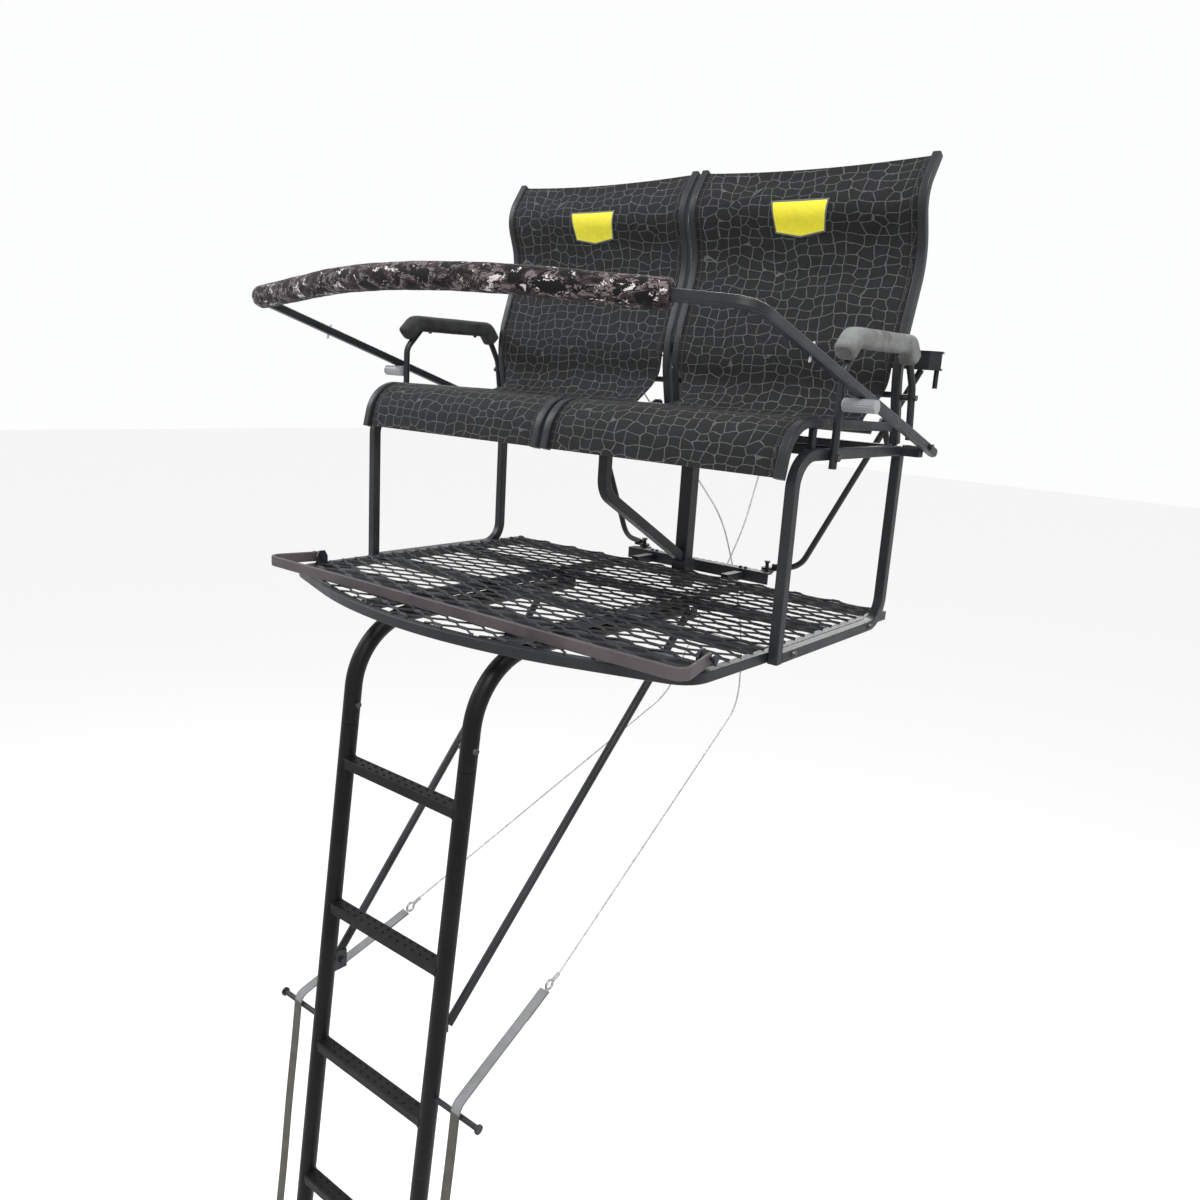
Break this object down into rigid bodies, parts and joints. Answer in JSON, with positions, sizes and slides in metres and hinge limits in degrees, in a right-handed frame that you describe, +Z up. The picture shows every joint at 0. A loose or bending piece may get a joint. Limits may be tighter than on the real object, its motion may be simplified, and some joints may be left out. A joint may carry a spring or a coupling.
{
  "type": "ladder tree stand",
  "caption": "Twin-seat ladder stand for a tree: sling seats with flip-up pans, padded shooting rail, mesh deck, folding footrest, toothed jaws and a long ladder",
  "frame": {"origin": "the point of the lower tree blade's tooth line that meets the trunk, in the middle of the stand", "axes": "+Z up, -Y the way the sitters face, +X to the right seen from the front"},
  "size_m": [1.433, 1.8607, 5.8674],
  "materials": {
    "tube": "black powder coat, slightly mottled",
    "mesh": "black powder coat over expanded metal",
    "sling": "charcoal mesh-print fabric with a cracked-scale pattern",
    "pad_light": "light grey foam, matt",
    "pad_dark": "dark grey foam, matt",
    "camo": "camouflage print over foam",
    "footbar": "mauve-brown powder coat",
    "zinc": "zinc plated",
    "peg": "clear ribbed plastic over a bright pin",
    "cap": "pale plastic plug",
    "cable": "galvanised wire rope",
    "webbing": "grey polyester webbing"
  },
  "bodies": {
    "stand": {"armrest_fixings": "zinc", "armrest_pad_left": "pad_dark", "armrest_pad_right": "pad_light", "armrest_tube_left": "tube", "armrest_tube_right": "tube", "cable_from_left": "cable", "cable_from_right": "cable", "cable_thimbles": "zinc", "centre_post": "tube", "deck_mesh": "mesh", "footrest_brackets": "tube", "frame_bolts": "zinc", "jaw_pivots": "tube", "ladder_brace_clamps": "tube", "ladder_brace_left": "tube", "ladder_brace_right": "tube", "ladder_feet": "tube", "ladder_gooseneck_left": "tube", "ladder_gooseneck_right": "tube", "ladder_joint_bolts": "zinc", "ladder_section_lower": "tube", "ladder_section_middle": "tube", "ladder_section_upper": "tube", "lower_blade_bolts": "zinc", "lower_tree_blade": "tube", "pan_hinge_bolts": "zinc", "pan_hinge_brackets": "tube", "platform_cross_tubes": "tube", "platform_long_tubes": "tube", "platform_rear_tube": "tube", "platform_rim": "tube", "post_boot": "tube", "rail_rest_pegs": "peg", "seat_back_frame_left": "tube", "seat_back_frame_right": "tube", "seat_back_sling_left": "sling", "seat_back_sling_right": "sling", "seat_cross_tubes": "tube", "shooting_rail_pivots": "tube", "side_frame_left": "tube", "side_frame_right": "tube", "spine_tube": "tube", "strap_buckles": "zinc", "strap_pegs": "tube", "strap_webbing": "webbing", "upper_brace_brackets": "tube", "upper_tree_brace": "tube"},
    "shooting_rail": {"shooting_rail_caps": "cap", "shooting_rail_pins": "zinc", "shooting_rail_sleeve": "camo", "shooting_rail_tube": "tube"},
    "seat_left": {"seat_pan_frame_left": "tube", "seat_pan_sling_left": "sling"},
    "seat_right": {"seat_pan_frame_right": "tube", "seat_pan_sling_right": "sling"},
    "footrest": {"footrest_bar": "footbar"},
    "jaw_left": {"tree_jaw_left": "tube"},
    "jaw_right": {"tree_jaw_right": "tube"}
  },
  "joints": [
    {"name": "rail_hinge", "type": "hinge", "parent": "stand", "child": "shooting_rail", "pos_m": [0, -0.189, 0.392], "axis": [-1, 0, 0], "range_deg": [0, 84]},
    {"name": "seat_left_hinge", "type": "hinge", "parent": "stand", "child": "seat_left", "pos_m": [-0.311, -0.224, 0.441], "axis": [-1, 0, 0], "range_deg": [0, 72]},
    {"name": "seat_right_hinge", "type": "hinge", "parent": "stand", "child": "seat_right", "pos_m": [0.311, -0.224, 0.441], "axis": [-1, 0, 0], "range_deg": [0, 72]},
    {"name": "footrest_hinge", "type": "hinge", "parent": "stand", "child": "footrest", "pos_m": [0, -0.871, 0.013], "axis": [-1, 0, 0], "range_deg": [0, 168]},
    {"name": "jaw_left_hinge", "type": "hinge", "parent": "stand", "child": "jaw_left", "pos_m": [-0.208, 0.008, 0.3], "axis": [0, 0, -1], "range_deg": [0, 95]},
    {"name": "jaw_right_hinge", "type": "hinge", "parent": "stand", "child": "jaw_right", "pos_m": [0.208, 0.008, 0.3], "axis": [0, 0, 1], "range_deg": [0, 95]}
  ]
}
